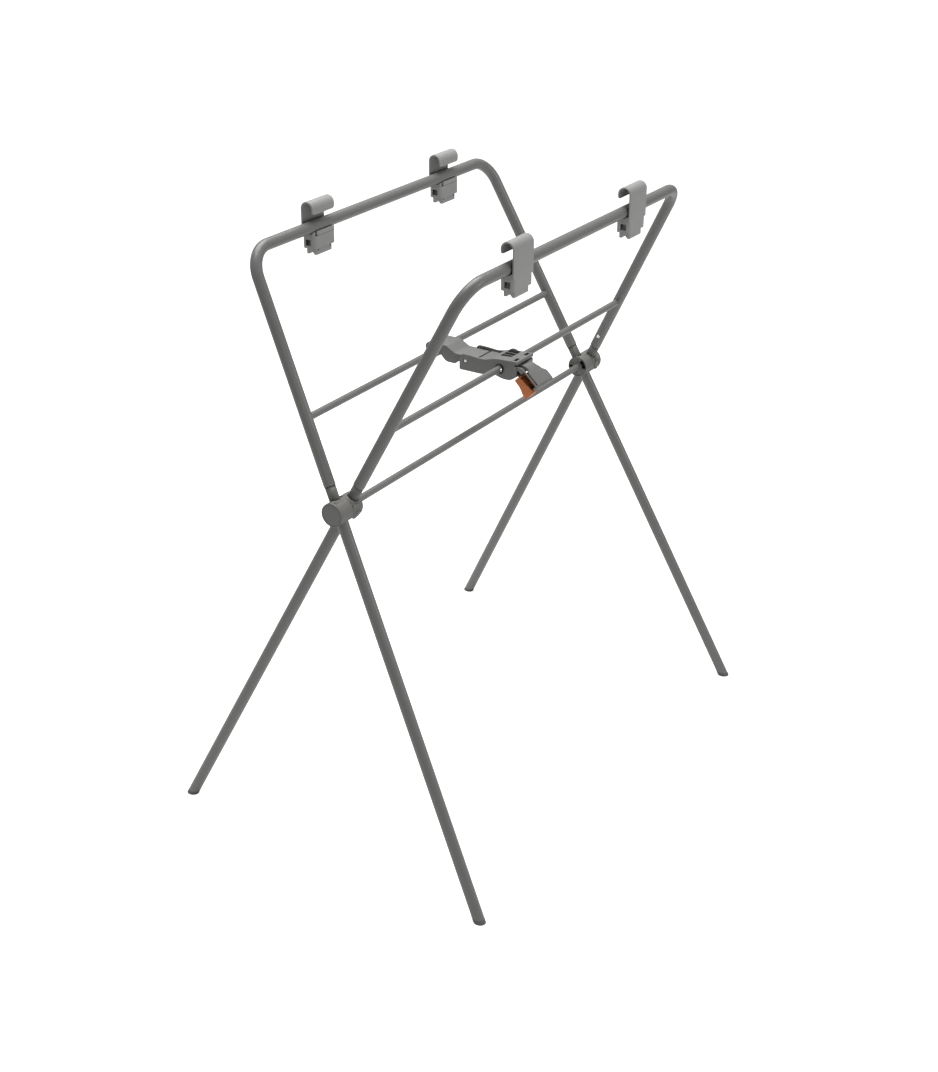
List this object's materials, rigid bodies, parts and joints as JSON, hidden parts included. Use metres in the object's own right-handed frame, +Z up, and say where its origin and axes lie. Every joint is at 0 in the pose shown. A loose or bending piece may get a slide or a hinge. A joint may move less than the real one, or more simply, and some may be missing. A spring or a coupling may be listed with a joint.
{
  "type": "baby bath stand",
  "caption": "Folding baby bath stand: two crossed grey tube frames on an axle, hooks over both rails for a tub, and a toggle strut with an orange trigger.",
  "frame": {"origin": "On the floor under the middle of the stand: the bottom centre of the bounding box.", "axes": "+Z is up. Y runs along both rails and the axle, with -Y the end nearer the camera. X runs across the stand, with frame B, its rail and the strut's grip on the +X side."},
  "size_m": [0.5966, 0.8926, 0.9615],
  "materials": {
    "tube_lacquer": "satin grey lacquer",
    "foot_plastic": "matt dark plastic",
    "stub_plastic": "matt dark plastic",
    "hub_plastic": "fine-grained grey plastic",
    "hook_plastic": "fine-grained light grey plastic",
    "strut_plastic": "fine-grained grey plastic",
    "trigger_plastic": "matt orange plastic",
    "bright_steel": "bright zinc-plated steel"
  },
  "bodies": {
    "frame_a": {"rail_tube_a": "tube_lacquer", "cross_tube_a": "tube_lacquer", "leg_tube_a_near": "tube_lacquer", "leg_tube_a_far": "tube_lacquer", "foot_plug_a_near": "foot_plastic", "foot_plug_a_far": "foot_plastic", "hub_outer_a": "hub_plastic", "hub_inner_a": "hub_plastic", "hub_cap_a": "hub_plastic", "hub_stubs_a": "stub_plastic", "screw_covers_a": "hub_plastic", "frame_rivet_a": "bright_steel", "saddle_a_near": "hook_plastic", "saddle_a_far": "hook_plastic", "saddle_screws_a": "bright_steel", "axle_tube": "tube_lacquer", "pivot_bolts": "bright_steel"},
    "frame_b": {"rail_tube_b": "tube_lacquer", "cross_tube_b": "tube_lacquer", "leg_tube_b_near": "tube_lacquer", "leg_tube_b_far": "tube_lacquer", "foot_plug_b_near": "foot_plastic", "foot_plug_b_far": "foot_plastic", "hub_outer_b": "hub_plastic", "hub_inner_b": "hub_plastic", "hub_cap_b": "hub_plastic", "hub_stubs_b": "stub_plastic", "screw_covers_b": "hub_plastic", "frame_rivet_b": "bright_steel", "saddle_b_near": "hook_plastic", "saddle_b_far": "hook_plastic", "saddle_screws_b": "bright_steel", "latch_collar": "bright_steel", "stop_rivet": "bright_steel"},
    "link": {"strut_link": "strut_plastic"},
    "arm": {"strut_arm": "strut_plastic", "toggle_pin": "bright_steel", "grip": "strut_plastic", "trigger_pin": "bright_steel", "trigger_spring": "bright_steel"},
    "trigger": {"trigger": "trigger_plastic"},
    "hook_a_near": {"hook_a_near": "hook_plastic"},
    "hook_a_far": {"hook_a_far": "hook_plastic"},
    "hook_b_near": {"hook_b_near": "hook_plastic"},
    "hook_b_far": {"hook_b_far": "hook_plastic"}
  },
  "joints": [
    {"name": "fold", "type": "hinge", "parent": "frame_a", "child": "frame_b", "pos_m": [0, 0, 0.573], "axis": [0, -1, 0], "range_deg": [0, 36]},
    {"name": "link_swing", "type": "hinge", "parent": "frame_a", "child": "link", "pos_m": [-0.06335, 0, 0.69896], "axis": [0, 1, 0], "range_deg": [0, 52.38]},
    {"name": "arm_swing", "type": "hinge", "parent": "frame_b", "child": "arm", "pos_m": [0.06335, 0, 0.69896], "axis": [0, -1, 0], "range_deg": [0, 52.38]},
    {"name": "trigger_pull", "type": "hinge", "parent": "arm", "child": "trigger", "pos_m": [0.08595, 0, 0.68997], "axis": [0, -1, 0], "range_deg": [0, 6.8], "stiffness_Nm_per_rad": 0.6, "springref_deg": -20.05},
    {"name": "hook_a_near_slide", "type": "slide", "parent": "frame_a", "child": "hook_a_near", "axis": [0, 0, -1], "range_m": [0, 0.008]},
    {"name": "hook_a_far_slide", "type": "slide", "parent": "frame_a", "child": "hook_a_far", "axis": [0, 0, -1], "range_m": [0, 0.008]},
    {"name": "hook_b_near_slide", "type": "slide", "parent": "frame_b", "child": "hook_b_near", "axis": [0, 0, -1], "range_m": [0, 0.008]},
    {"name": "hook_b_far_slide", "type": "slide", "parent": "frame_b", "child": "hook_b_far", "axis": [0, 0, -1], "range_m": [0, 0.008]}
  ],
  "couplings": [
    {"joint": "link_swing", "follows": "fold", "ratio": 1.4535},
    {"joint": "arm_swing", "follows": "fold", "ratio": 1.4535}
  ]
}
